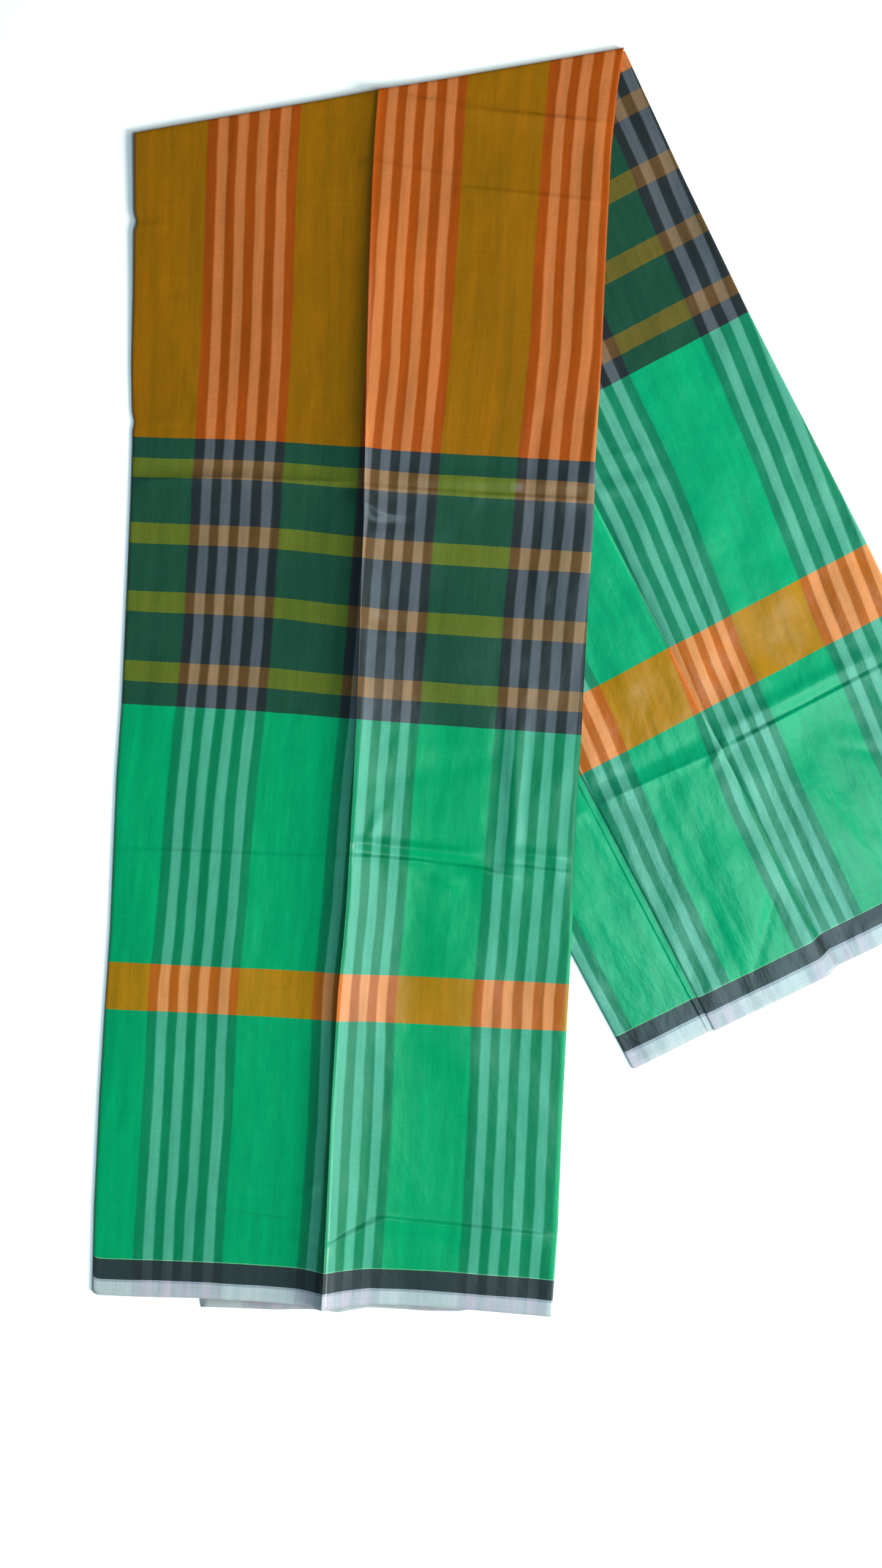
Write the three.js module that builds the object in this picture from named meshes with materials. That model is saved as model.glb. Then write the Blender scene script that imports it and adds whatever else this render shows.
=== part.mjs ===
import * as THREE from "three";

// A lungi length folded in thirds to a strip, and the strip folded across once.
// The near stretch lies on top, the far stretch runs out from under it.
// Millimetres: X to the right of the view, Y up the view, Z up from the surface.

// Cloth walls and the levels that they lie at.
const CLOTH_WALL = 1.2;
const LAYER_GAP = 0.3;
const FAR_LOW_LAYER = 1.0;
const NEAR_HIDDEN_LAYERS = 1.5;
const NEAR_LOWEST_LAYER = 0.8;

const FAR_LEFT_TOP = FAR_LOW_LAYER + LAYER_GAP + CLOTH_WALL;
const FAR_FLAP_TOP = FAR_LEFT_TOP + LAYER_GAP + CLOTH_WALL;
const NEAR_BASE_ON_FAR = FAR_FLAP_TOP + LAYER_GAP;
const NEAR_STACK = NEAR_HIDDEN_LAYERS + LAYER_GAP + CLOTH_WALL;

// Folded edges: the wall turns over and runs down to the level it lies on.
const FOLD_PROFILE = [
  { inset: 0.8, drop: 1.0, innerInset: 2.0, innerDrop: 1.0, underWall: 0 },
  { inset: 0.0, drop: 0.52, innerInset: 1.2, innerDrop: 0.6, underWall: 0 },
  { inset: 0.5, drop: 0.17, innerInset: 1.6, innerDrop: 0.14, underWall: 1 },
  { inset: 1.8, drop: 0.03, innerInset: 2.6, innerDrop: 0.02, underWall: 1 },
  { inset: 6.0, drop: 0.0, innerInset: 6.0, innerDrop: 0.0, underWall: 1 },
];

// Hidden layers stand back from the walls that turn over them.
const HIDDEN_EDGE = [
  { inset: 2.7, drop: 0.5 },
  { inset: 4.8, drop: 0.0 },
];

// Near stretch, hem to top fold: where each cross line starts and ends.
const NEAR_STATIONS = [
  { leftX: -442, leftY: -575, rightX: -9, rightY: -596 },
  { leftX: -440, leftY: -493, rightX: -3, rightY: -514 },
  { leftX: -435, leftY: -389, rightX: 1, rightY: -410 },
  { leftX: -430, leftY: -307, rightX: 5, rightY: -327 },
  { leftX: -425, leftY: -233, rightX: 9, rightY: -255 },
  { leftX: -419, leftY: -89, rightX: 15, rightY: -112 },
  { leftX: -414, leftY: -19, rightX: 19, rightY: -45 },
  { leftX: -409, leftY: 96, rightX: 25, rightY: 73 },
  { leftX: -406, leftY: 166, rightX: 30, rightY: 144 },
  { leftX: -404, leftY: 228, rightX: 32, rightY: 211 },
  { leftX: -405, leftY: 300, rightX: 38, rightY: 308 },
  { leftX: -403, leftY: 373, rightX: 42, rightY: 404 },
  { leftX: -402, leftY: 445, rightX: 47, rightY: 501 },
  { leftX: -402, leftY: 489, rightX: 53, rightY: 559 },
  { leftX: -402, leftY: 518, rightX: 59, rightY: 598 },
];

// Far stretch, hem to top fold.
const FAR_STATIONS = [
  { leftX: 67, leftY: -365, rightX: 441, rightY: -182 },
  { leftX: -56, leftY: -130, rightX: 318, rightY: 70 },
  { leftX: -87, leftY: -69, rightX: 288, rightY: 132 },
  { leftX: -206, leftY: 149, rightX: 176, rightY: 351 },
  { leftX: -273, leftY: 275, rightX: 116.5, rightY: 474 },
  { leftX: -402, leftY: 518, rightX: 59, rightY: 598 },
];

// Near hem: how far it hangs below a straight line, by distance from the left fold.
const NEAR_HEM_DIP = [
  { at: 0, down: -4.5 },
  { at: 2, down: -2.3 },
  { at: 5, down: -0.9 },
  { at: 35, down: -0.5 },
  { at: 102, down: -2.0 },
  { at: 173, down: -1.4 },
  { at: 197, down: -1.0 },
  { at: 211, down: 0.6 },
  { at: 223, down: 0.7 },
  { at: 237, down: -1.4 },
  { at: 260, down: -4.4 },
  { at: 318, down: -4.3 },
  { at: 376, down: -2.3 },
  { at: 433, down: -0.6 },
];

// The lowest near layer: how far its hem shows below the near hem.
const LOWEST_LAYER_SHOWS = [
  { at: 0, down: -1.2 },
  { at: 101.5, down: -1.2 },
  { at: 102.5, down: 8.7 },
  { at: 173, down: 6.9 },
  { at: 197, down: 4.0 },
  { at: 211, down: 0.6 },
  { at: 223, down: 0.9 },
  { at: 232, down: 4.6 },
  { at: 260, down: 3.5 },
  { at: 318, down: 4.6 },
  { at: 347, down: 2.5 },
  { at: 362, down: -1.2 },
  { at: 433, down: -1.2 },
];

// Far hem: the cloth right of the lengthwise crease ends higher.
const FAR_HEM_DIP = [
  { at: 0, down: -1.6 },
  { at: 3, down: -0.2 },
  { at: 85, down: -0.9 },
  { at: 86, down: 0.8 },
  { at: 205, down: 1.0 },
  { at: 216, down: -4.2 },
  { at: 300, down: -3.6 },
  { at: 420, down: -1.0 },
];

const HEM_DIP_REACH = 110;

// Lengthwise crease of the near stretch: a sharp ridge, taller towards the hem.
const NEAR_CREASE = [
  { at: 0, share: 0.501 },
  { at: 0.26, share: 0.503 },
  { at: 0.33, share: 0.511 },
  { at: 0.42, share: 0.515 },
  { at: 0.55, share: 0.511 },
  { at: 0.68, share: 0.504 },
  { at: 0.85, share: 0.5 },
  { at: 1, share: 0.5 },
];
const NEAR_RIDGE_REACH = 75;
const NEAR_RIDGE_SLACK_LEFT = 20;
const NEAR_RIDGE_SLACK_RIGHT = 30;
const NEAR_RIDGE_HEIGHT = [
  { at: 0, height: 13.0 },
  { at: 0.3, height: 12.0 },
  { at: 0.45, height: 12.5 },
  { at: 0.68, height: 9.0 },
  { at: 0.85, height: 9.5 },
  { at: 1, height: 4.0 },
];

// Lengthwise crease of the far stretch: a narrow valley.
const FAR_CREASE = [
  { at: 0, share: 0.512 },
  { at: 0.33, share: 0.505 },
  { at: 0.6, share: 0.508 },
  { at: 1, share: 0.51 },
];
const FAR_VALLEY_DEPTH = 1.0;
const FAR_VALLEY_LEFT = 5;
const FAR_VALLEY_RIGHT = 8;

// The far stretch's side flap ends this far from the left fold, over the left layer.
const FAR_FLAP_EDGE = 86;
const FAR_LEFT_LAYER_WIDTH = 110;
const FAR_STEP_CLEARANCE = 1.0;

// Where the near stretch leaves the far one it comes down over this width.
const DROP_WIDTH_AT_FOLD = 140;
const DROP_WIDTH_AT_HEM = 90;
const DROP_INNER_SHARE = 0.4;

// Hidden ends stand back from the top fold and from the hems.
const FOLD_END_INSET = 4.6;
const HIDDEN_HEM_INSET = 1.5;

const NEAR_ROW_STEP = 48;
const FAR_ROW_STEP = 60;
const NEAR_LENGTH = 1140;
const FAR_LENGTH = 930;

const CREST_OFFSETS = [-60, -38, -22, -11, -4, 0, 4, 11, 22, 38, 60];
const HIDDEN_CREST_OFFSETS = [-60, -38, -22, -11, -4, 0, 4, 11, 15, 22, 38, 60];
const NEAR_LEFT_COLUMNS = [36, 72, 101.5, 102.5, 128];
const NEAR_RIGHT_COLUMNS = [118, 80, 40];
const VALLEY_OFFSETS = [-14, -5, 0, 6, 18];
const FLAP_LEFT_COLUMNS = [0, 1.5, 45, 90];
const FLAP_RIGHT_COLUMNS = [150, 100, 50];
const LEFT_LAYER_COLUMNS = [30, 60, 85, 110];

function mix(from, to, share) {
  return from + (to - from) * share;
}

function smooth(share) {
  const kept = Math.min(Math.max(share, 0), 1);
  return kept * kept * (3 - 2 * kept);
}

function lookUp(table, at, column) {
  if (at <= table[0].at) {
    return table[0][column];
  }
  for (let k = 1; k < table.length; k += 1) {
    if (at <= table[k].at) {
      const share = (at - table[k - 1].at) / (table[k].at - table[k - 1].at);
      return mix(table[k - 1][column], table[k][column], share);
    }
  }
  return table[table.length - 1][column];
}

// Cross line of a stretch at a share of its length, counted from the hem.
function crossLine(stations, share) {
  const lengths = [0];
  for (let k = 1; k < stations.length; k += 1) {
    const a = stations[k - 1];
    const b = stations[k];
    const left = Math.hypot(b.leftX - a.leftX, b.leftY - a.leftY);
    const right = Math.hypot(b.rightX - a.rightX, b.rightY - a.rightY);
    lengths.push(lengths[k - 1] + (left + right) / 2);
  }
  const wanted = share * lengths[lengths.length - 1];
  let k = 1;
  while (k < lengths.length - 1 && lengths[k] < wanted) {
    k += 1;
  }
  const part = (wanted - lengths[k - 1]) / (lengths[k] - lengths[k - 1]);
  const a = stations[k - 1];
  const b = stations[k];
  return {
    leftX: mix(a.leftX, b.leftX, part),
    leftY: mix(a.leftY, b.leftY, part),
    rightX: mix(a.rightX, b.rightX, part),
    rightY: mix(a.rightY, b.rightY, part),
  };
}

function lineWidth(line) {
  return Math.hypot(line.rightX - line.leftX, line.rightY - line.leftY);
}

function pointOnLine(line, fromLeft) {
  const share = fromLeft / lineWidth(line);
  return {
    x: mix(line.leftX, line.rightX, share),
    y: mix(line.leftY, line.rightY, share),
  };
}

// Distance of a point from the far stretch's left fold, negative outside it.
function insideFar(x, y) {
  const hem = FAR_STATIONS[0];
  const fold = FAR_STATIONS[FAR_STATIONS.length - 1];
  const runX = fold.leftX - hem.leftX;
  const runY = fold.leftY - hem.leftY;
  const run = Math.hypot(runX, runY);
  return ((x - hem.leftX) * runY - (y - hem.leftY) * runX) / run;
}

// The level that the near stretch lies on.
function nearBase(x, y, share) {
  const outer = mix(DROP_WIDTH_AT_HEM, DROP_WIDTH_AT_FOLD, smooth((share - 0.3) / 0.5));
  const inner = outer * DROP_INNER_SHARE;
  return NEAR_BASE_ON_FAR * smooth((insideFar(x, y) + outer) / (outer + inner));
}

function nearRidge(fromCrease, share) {
  const slack = fromCrease < 0 ? NEAR_RIDGE_SLACK_LEFT : NEAR_RIDGE_SLACK_RIGHT;
  const tail = Math.exp(-NEAR_RIDGE_REACH / slack);
  const rise = (Math.exp(-Math.abs(fromCrease) / slack) - tail) / (1 - tail);
  return lookUp(NEAR_RIDGE_HEIGHT, share, "height") * Math.max(rise, 0);
}

function farValley(fromCrease) {
  const reach = fromCrease < 0 ? FAR_VALLEY_LEFT : FAR_VALLEY_RIGHT;
  return FAR_VALLEY_DEPTH * Math.exp(-Math.abs(fromCrease) / reach);
}

// Shares of the length for the rows between the hem and the top fold.
function rowShares(length, step) {
  const rows = [0, 7 / length, 24 / length];
  const count = Math.round((length - 48) / step);
  for (let k = 0; k < count; k += 1) {
    rows.push((48 + k * step) / length);
  }
  return rows;
}

// Closed body between an upper and a lower grid of points, rows from hem to fold.
function closedBody(upper, lower) {
  const rows = upper.length;
  const columns = upper[0].length;
  const positions = [];
  for (const grid of [upper, lower]) {
    for (const row of grid) {
      for (const point of row) {
        positions.push(point.x, point.y, point.z);
      }
    }
  }
  const top = (j, i) => j * columns + i;
  const under = (j, i) => rows * columns + j * columns + i;
  const faces = [];
  const quad = (a, b, c, d) => {
    faces.push(a, b, c, a, c, d);
  };
  for (let j = 0; j < rows - 1; j += 1) {
    for (let i = 0; i < columns - 1; i += 1) {
      quad(top(j, i), top(j, i + 1), top(j + 1, i + 1), top(j + 1, i));
      quad(under(j, i), under(j + 1, i), under(j + 1, i + 1), under(j, i + 1));
    }
  }
  const lastRow = rows - 1;
  const lastColumn = columns - 1;
  for (let i = 0; i < lastColumn; i += 1) {
    quad(top(0, i), under(0, i), under(0, i + 1), top(0, i + 1));
    quad(top(lastRow, i + 1), under(lastRow, i + 1), under(lastRow, i), top(lastRow, i));
  }
  for (let j = 0; j < lastRow; j += 1) {
    quad(top(j + 1, 0), under(j + 1, 0), under(j, 0), top(j, 0));
    quad(top(j, lastColumn), under(j, lastColumn), under(j + 1, lastColumn), top(j + 1, lastColumn));
  }
  const geometry = new THREE.BufferGeometry();
  geometry.setAttribute("position", new THREE.Float32BufferAttribute(positions, 3));
  geometry.setIndex(faces);
  geometry.computeVertexNormals();
  return geometry;
}

// Columns of the near wall: folded edges, plain cloth and the ridge.
function nearColumns() {
  const columns = [];
  for (const edge of FOLD_PROFILE) {
    columns.push({ side: "left", ...edge });
  }
  for (const inset of NEAR_LEFT_COLUMNS) {
    columns.push({ side: "left", inset, drop: 0, innerInset: inset, innerDrop: 0, underWall: 1 });
  }
  for (const inset of CREST_OFFSETS) {
    columns.push({ side: "crease", inset, drop: 0, innerInset: inset, innerDrop: 0, underWall: 1 });
  }
  for (const inset of NEAR_RIGHT_COLUMNS) {
    columns.push({ side: "right", inset, drop: 0, innerInset: inset, innerDrop: 0, underWall: 1 });
  }
  for (const edge of [...FOLD_PROFILE].reverse()) {
    columns.push({ side: "right", ...edge });
  }
  return columns;
}

// Rows of the near wall: hem, plain cloth and the top fold.
function nearRows() {
  const rows = [];
  for (const share of rowShares(NEAR_LENGTH, NEAR_ROW_STEP)) {
    rows.push({ share, innerShare: share, drop: 0, innerDrop: 0, underWall: 1 });
  }
  for (const edge of [...FOLD_PROFILE].reverse()) {
    rows.push({
      share: 1 - edge.inset / NEAR_LENGTH,
      innerShare: 1 - edge.innerInset / NEAR_LENGTH,
      drop: edge.drop,
      innerDrop: edge.innerDrop,
      underWall: edge.underWall,
    });
  }
  return rows;
}

function fromLeftOf(column, inset, width, creaseShare) {
  if (column.side === "left") {
    return inset;
  }
  if (column.side === "right") {
    return width - inset;
  }
  return width * creaseShare + inset;
}

function nearHemShift(fromLeft, share) {
  const fade = 1 - smooth(share * NEAR_LENGTH / HEM_DIP_REACH);
  return -lookUp(NEAR_HEM_DIP, fromLeft, "down") * fade;
}

function nearWall() {
  const outer = [];
  const inner = [];
  for (const row of nearRows()) {
    const crease = lookUp(NEAR_CREASE, row.share, "share");
    const outerRow = [];
    const innerRow = [];
    for (const column of nearColumns()) {
      const line = crossLine(NEAR_STATIONS, row.share);
      const width = lineWidth(line);
      const fromLeft = fromLeftOf(column, column.inset, width, crease);
      const spot = pointOnLine(line, fromLeft);
      const base = nearBase(spot.x, spot.y, row.share);
      const ridge = nearRidge(fromLeft - width * crease, row.share);
      const level = base + NEAR_STACK + ridge;
      const sideDrop = column.drop * NEAR_STACK;
      const foldDrop = row.drop * level;
      outerRow.push({
        x: spot.x,
        y: spot.y + nearHemShift(fromLeft, row.share),
        z: level - Math.max(sideDrop, foldDrop),
      });

      const innerLine = crossLine(NEAR_STATIONS, row.innerShare);
      const innerWidth = lineWidth(innerLine);
      const innerFromLeft = fromLeftOf(column, column.innerInset, innerWidth, crease);
      const innerSpot = pointOnLine(innerLine, innerFromLeft);
      const innerSide = column.innerDrop * NEAR_STACK + column.underWall * CLOTH_WALL;
      const innerFold = row.innerDrop * level + row.underWall * CLOTH_WALL;
      innerRow.push({
        x: innerSpot.x,
        y: innerSpot.y + nearHemShift(fromLeft, row.share),
        z: level - Math.max(innerSide, innerFold),
      });
    }
    outer.push(outerRow);
    inner.push(innerRow);
  }
  return closedBody(outer, inner);
}

function hiddenColumns() {
  const columns = HIDDEN_EDGE.map((edge) => ({ side: "left", ...edge }));
  columns.push(...NEAR_LEFT_COLUMNS.map((inset) => ({ side: "left", inset, drop: 0 })));
  columns.push(...HIDDEN_CREST_OFFSETS.map((inset) => ({ side: "crease", inset, drop: 0 })));
  columns.push(...NEAR_RIGHT_COLUMNS.map((inset) => ({ side: "right", inset, drop: 0 })));
  columns.push(...[...HIDDEN_EDGE].reverse().map((edge) => ({ side: "right", ...edge })));
  return columns;
}

// The two layers under the near wall, stepped where the lowest one shows at the hem.
function nearHiddenLayers() {
  const columns = hiddenColumns();
  const rows = [
    { share: 0, hem: "lowest", layers: NEAR_LOWEST_LAYER, drop: 0 },
    { share: 0, hem: "back", layers: NEAR_LOWEST_LAYER, drop: 0 },
    { share: 0, hem: "back", layers: NEAR_HIDDEN_LAYERS, drop: 0 },
  ];
  for (const share of rowShares(NEAR_LENGTH, NEAR_ROW_STEP).slice(1)) {
    rows.push({ share, hem: "plain", layers: NEAR_HIDDEN_LAYERS, drop: 0 });
  }
  for (const edge of [...HIDDEN_EDGE].reverse()) {
    rows.push({
      share: 1 - edge.inset / NEAR_LENGTH,
      hem: "plain",
      layers: NEAR_HIDDEN_LAYERS,
      drop: edge.drop,
    });
  }
  const upper = [];
  const lower = [];
  for (const row of rows) {
    const crease = lookUp(NEAR_CREASE, row.share, "share");
    const upperRow = [];
    const lowerRow = [];
    for (const column of columns) {
      const line = crossLine(NEAR_STATIONS, row.share);
      const width = lineWidth(line);
      const fromLeft = fromLeftOf(column, column.inset, width, crease);
      const spot = pointOnLine(line, fromLeft);
      let shift = nearHemShift(fromLeft, row.share);
      if (row.hem === "lowest") {
        shift -= lookUp(LOWEST_LAYER_SHOWS, fromLeft, "down");
      }
      if (row.hem === "back") {
        shift += HIDDEN_HEM_INSET;
      }
      const base = nearBase(spot.x, spot.y, row.share);
      const ridge = nearRidge(fromLeft - width * crease, row.share);
      const drop = Math.max(column.drop, row.drop);
      const layers = Math.min(row.layers, NEAR_HIDDEN_LAYERS - drop);
      upperRow.push({ x: spot.x, y: spot.y + shift, z: base + ridge + layers });
      lowerRow.push({ x: spot.x, y: spot.y + shift, z: base });
    }
    upper.push(upperRow);
    lower.push(lowerRow);
  }
  return closedBody(upper, lower);
}

function farRows(hemShare) {
  const rows = rowShares(FAR_LENGTH, FAR_ROW_STEP);
  rows[0] = hemShare;
  rows.push(1 - FOLD_END_INSET / FAR_LENGTH);
  return rows;
}

function farHemShift(fromLeft, share) {
  const fade = 1 - smooth(share * FAR_LENGTH / HEM_DIP_REACH);
  return -lookUp(FAR_HEM_DIP, fromLeft, "down") * fade;
}

// A far wall over its own columns, at a given level, with a fold at its outer edge.
function farWall(columns, level) {
  const outer = [];
  const inner = [];
  for (const share of farRows(0)) {
    const crease = lookUp(FAR_CREASE, share, "share");
    const outerRow = [];
    const innerRow = [];
    for (const column of columns) {
      const line = crossLine(FAR_STATIONS, share);
      const width = lineWidth(line);
      const fromLeft = fromLeftOf(column, column.inset, width, crease);
      const innerFromLeft = fromLeftOf(column, column.innerInset, width, crease);
      const spot = pointOnLine(line, fromLeft);
      const innerSpot = pointOnLine(line, innerFromLeft);
      const dent = farValley(fromLeft - width * crease);
      const shift = farHemShift(fromLeft, share);
      const top = level - dent;
      outerRow.push({ x: spot.x, y: spot.y + shift, z: top - column.drop * level });
      innerRow.push({
        x: innerSpot.x,
        y: innerSpot.y + shift,
        z: top - column.innerDrop * level - column.underWall * CLOTH_WALL,
      });
    }
    outer.push(outerRow);
    inner.push(innerRow);
  }
  return closedBody(outer, inner);
}

function plainColumn(side, inset) {
  return { side, inset, drop: 0, innerInset: inset, innerDrop: 0, underWall: 1 };
}

function farFlap() {
  const columns = FLAP_LEFT_COLUMNS.map((inset) => plainColumn("left", FAR_FLAP_EDGE + inset));
  columns.push(...VALLEY_OFFSETS.map((inset) => plainColumn("crease", inset)));
  columns.push(...FLAP_RIGHT_COLUMNS.map((inset) => plainColumn("right", inset)));
  for (const edge of [...FOLD_PROFILE].reverse()) {
    columns.push({ side: "right", ...edge });
  }
  return farWall(columns, FAR_FLAP_TOP);
}

function farLeftLayer() {
  const columns = FOLD_PROFILE.map((edge) => ({ side: "left", ...edge }));
  columns.push(...LEFT_LAYER_COLUMNS.map((inset) => plainColumn("left", inset)));
  return farWall(columns, FAR_LEFT_TOP);
}

// The far stretch's hidden layers: thin under the left layer, thicker under the flap.
function farHiddenLayers() {
  const stepAt = FAR_LEFT_LAYER_WIDTH + FAR_STEP_CLEARANCE;
  const columns = [
    { side: "left", inset: HIDDEN_EDGE[0].inset, top: FAR_LOW_LAYER - HIDDEN_EDGE[0].drop },
    { side: "left", inset: HIDDEN_EDGE[1].inset, top: FAR_LOW_LAYER },
    { side: "left", inset: stepAt, top: FAR_LOW_LAYER },
    { side: "left", inset: stepAt, top: FAR_LEFT_TOP },
  ];
  for (const inset of VALLEY_OFFSETS) {
    columns.push({ side: "crease", inset, top: FAR_LEFT_TOP });
  }
  for (const inset of FLAP_RIGHT_COLUMNS) {
    columns.push({ side: "right", inset, top: FAR_LEFT_TOP });
  }
  columns.push({ side: "right", inset: HIDDEN_EDGE[1].inset, top: FAR_LEFT_TOP });
  columns.push({ side: "right", inset: HIDDEN_EDGE[0].inset, top: FAR_LEFT_TOP - HIDDEN_EDGE[0].drop });
  const upper = [];
  const lower = [];
  for (const share of farRows(HIDDEN_HEM_INSET / FAR_LENGTH)) {
    const crease = lookUp(FAR_CREASE, share, "share");
    const upperRow = [];
    const lowerRow = [];
    for (const column of columns) {
      const line = crossLine(FAR_STATIONS, share);
      const width = lineWidth(line);
      const fromLeft = fromLeftOf(column, column.inset, width, crease);
      const spot = pointOnLine(line, fromLeft);
      const dent = farValley(fromLeft - width * crease);
      const shift = farHemShift(fromLeft, share);
      upperRow.push({ x: spot.x, y: spot.y + shift, z: column.top - dent });
      lowerRow.push({ x: spot.x, y: spot.y + shift, z: 0 });
    }
    upper.push(upperRow);
    lower.push(lowerRow);
  }
  return closedBody(upper, lower);
}

function addNode(group, name, geometry, color) {
  const material = new THREE.MeshStandardMaterial({ color, roughness: 0.6, metalness: 0 });
  const mesh = new THREE.Mesh(geometry, material);
  mesh.name = name;
  group.add(mesh);
}

const lungi = new THREE.Group();
lungi.name = "lungi";
addNode(lungi, "near_length", nearWall(), 0x9c6a14);
addNode(lungi, "near_inner_layers", nearHiddenLayers(), 0xb9c3c8);
addNode(lungi, "far_flap", farFlap(), 0x1ba873);
addNode(lungi, "far_left_layer", farLeftLayer(), 0x17a06c);
addNode(lungi, "far_inner_layers", farHiddenLayers(), 0x148a5e);

// The origin is the middle of the whole, at the level of the surface.
const middle = new THREE.Box3().setFromObject(lungi).getCenter(new THREE.Vector3());
for (const mesh of lungi.children) {
  mesh.geometry.translate(-middle.x, -middle.y, 0);
}

export default lungi;
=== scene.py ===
import bpy
import bmesh
import math
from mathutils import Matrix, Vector, noise


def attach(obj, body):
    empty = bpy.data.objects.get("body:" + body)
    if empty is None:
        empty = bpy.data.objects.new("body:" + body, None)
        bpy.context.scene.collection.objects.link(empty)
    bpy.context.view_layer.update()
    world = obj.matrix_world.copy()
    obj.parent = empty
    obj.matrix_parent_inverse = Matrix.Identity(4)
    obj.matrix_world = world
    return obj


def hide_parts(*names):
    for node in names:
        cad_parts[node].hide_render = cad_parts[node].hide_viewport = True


# A folded lungi on a white floor, seen from straight above.
# Lengths are in millimetres in the tables and in metres in the scene.
# The pattern counts in its own steps of 0.578 mm, from the hem and across the cloth.

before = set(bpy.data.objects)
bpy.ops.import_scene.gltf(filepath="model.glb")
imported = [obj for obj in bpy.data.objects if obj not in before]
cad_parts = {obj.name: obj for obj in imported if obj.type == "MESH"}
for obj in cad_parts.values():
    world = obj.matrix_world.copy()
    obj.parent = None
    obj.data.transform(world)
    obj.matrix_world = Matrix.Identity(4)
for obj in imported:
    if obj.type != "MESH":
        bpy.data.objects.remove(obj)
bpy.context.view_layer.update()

mm = 0.001
patternStep = 0.578
middle = (-0.5, 1.3)


def mix(a, b, share):
    return a + (b - a) * share


def clamp(value, low, high):
    return max(low, min(high, value))


def smooth(share):
    kept = clamp(share, 0, 1)
    return kept * kept * (3 - 2 * kept)


def lookUp(table, at, column):
    if at <= table[0]["at"]:
        return table[0][column]
    for before, after in zip(table, table[1:]):
        if at <= after["at"]:
            share = (at - before["at"]) / (after["at"] - before["at"])
            return mix(before[column], after[column], share)
    return table[-1][column]


def bell(away, width):
    return math.exp(-(away / width) ** 2)


def wave(a, b, seed):
    return noise.noise(Vector((a, b, seed)))


def colour(red, green, blue):
    linear = []
    for value in (red, green, blue):
        c = value / 255
        linear.append(c / 12.92 if c < 0.04045 else ((c + 0.055) / 1.055) ** 2.4)
    return (linear[0], linear[1], linear[2], 1)


# The two lengths of the strip, from hem to the fold that joins them.
near = {
    "stations": [
        {"left": (-442, -575), "right": (-9, -596)},
        {"left": (-440, -493), "right": (-3, -514)},
        {"left": (-435, -389), "right": (1, -410)},
        {"left": (-430, -307), "right": (5, -327)},
        {"left": (-425, -233), "right": (9, -255)},
        {"left": (-419, -89), "right": (15, -112)},
        {"left": (-414, -19), "right": (19, -45)},
        {"left": (-409, 96), "right": (25, 73)},
        {"left": (-406, 166), "right": (30, 144)},
        {"left": (-404, 228), "right": (32, 211)},
        {"left": (-405, 300), "right": (38, 308)},
        {"left": (-403, 373), "right": (42, 404)},
        {"left": (-402, 445), "right": (47, 501)},
        {"left": (-402, 489), "right": (53, 559)},
        {"left": (-402, 518), "right": (59, 598)},
    ],
    "length": 1140,
    "crease": [
        {"at": 0, "share": 0.501}, {"at": 0.26, "share": 0.503}, {"at": 0.33, "share": 0.511},
        {"at": 0.42, "share": 0.515}, {"at": 0.55, "share": 0.511}, {"at": 0.68, "share": 0.504},
        {"at": 0.85, "share": 0.5}, {"at": 1, "share": 0.5},
    ],
}
far = {
    "stations": [
        {"left": (67, -365), "right": (441, -182)},
        {"left": (-56, -130), "right": (318, 70)},
        {"left": (-87, -69), "right": (288, 132)},
        {"left": (-206, 149), "right": (176, 351)},
        {"left": (-273, 275), "right": (116.5, 474)},
        {"left": (-402, 518), "right": (59, 598)},
    ],
    "length": 930,
    "crease": [
        {"at": 0, "share": 0.512}, {"at": 0.33, "share": 0.505}, {"at": 0.6, "share": 0.508},
        {"at": 1, "share": 0.51},
    ],
}

# How the level rises: walls of 1.2 with 0.3 between them, as in the solids.
levels = {
    "farLow": 1.0, "farLeft": 2.5, "farFlap": 4.0,
    "nearOnFar": 4.3, "nearHidden": 1.5, "nearStack": 3.0,
}

# A folded edge turns over and comes down to the layer below.
foldProfile = [
    {"inset": 1.0, "drop": 0.98},
    {"inset": 0.25, "drop": 0.8},
    {"inset": 0.0, "drop": 0.55},
    {"inset": 0.2, "drop": 0.32},
    {"inset": 0.8, "drop": 0.13},
    {"inset": 2.0, "drop": 0.03},
    {"inset": 4.0, "drop": 0.0},
]

# How far the hems hang below a straight line, by the distance from the left edge. The second table is
# for the lowest layer, as far as it shows under the top one.
nearHemDip = [
    {"at": 0, "down": -2.0}, {"at": 2, "down": 0.2}, {"at": 5, "down": 1.6}, {"at": 35, "down": 1.5},
    {"at": 102, "down": 0.0}, {"at": 173, "down": 0.7}, {"at": 197, "down": 1.0}, {"at": 211, "down": 2.4},
    {"at": 223, "down": 2.4}, {"at": 237, "down": 0.2}, {"at": 260, "down": -2.8}, {"at": 318, "down": -2.5},
    {"at": 376, "down": -0.7}, {"at": 433, "down": 1.6},
]
lowestShows = [
    {"at": 0, "down": -1.2}, {"at": 101.5, "down": -1.2}, {"at": 102.5, "down": 8.7},
    {"at": 173, "down": 6.9}, {"at": 197, "down": 4.0}, {"at": 211, "down": 0.6},
    {"at": 223, "down": 0.9}, {"at": 232, "down": 4.6}, {"at": 260, "down": 3.5},
    {"at": 318, "down": 4.6}, {"at": 347, "down": 2.5}, {"at": 362, "down": -1.2},
    {"at": 433, "down": -1.2},
]
farHemDip = [
    {"at": 0, "down": -1.6}, {"at": 3, "down": -0.2}, {"at": 85, "down": -0.9}, {"at": 86, "down": 0.8},
    {"at": 205, "down": 1.0}, {"at": 216, "down": -4.2}, {"at": 300, "down": -3.6}, {"at": 420, "down": -1.0},
]
hemReach = 110  # the hems' dips fade out over this length

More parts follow.
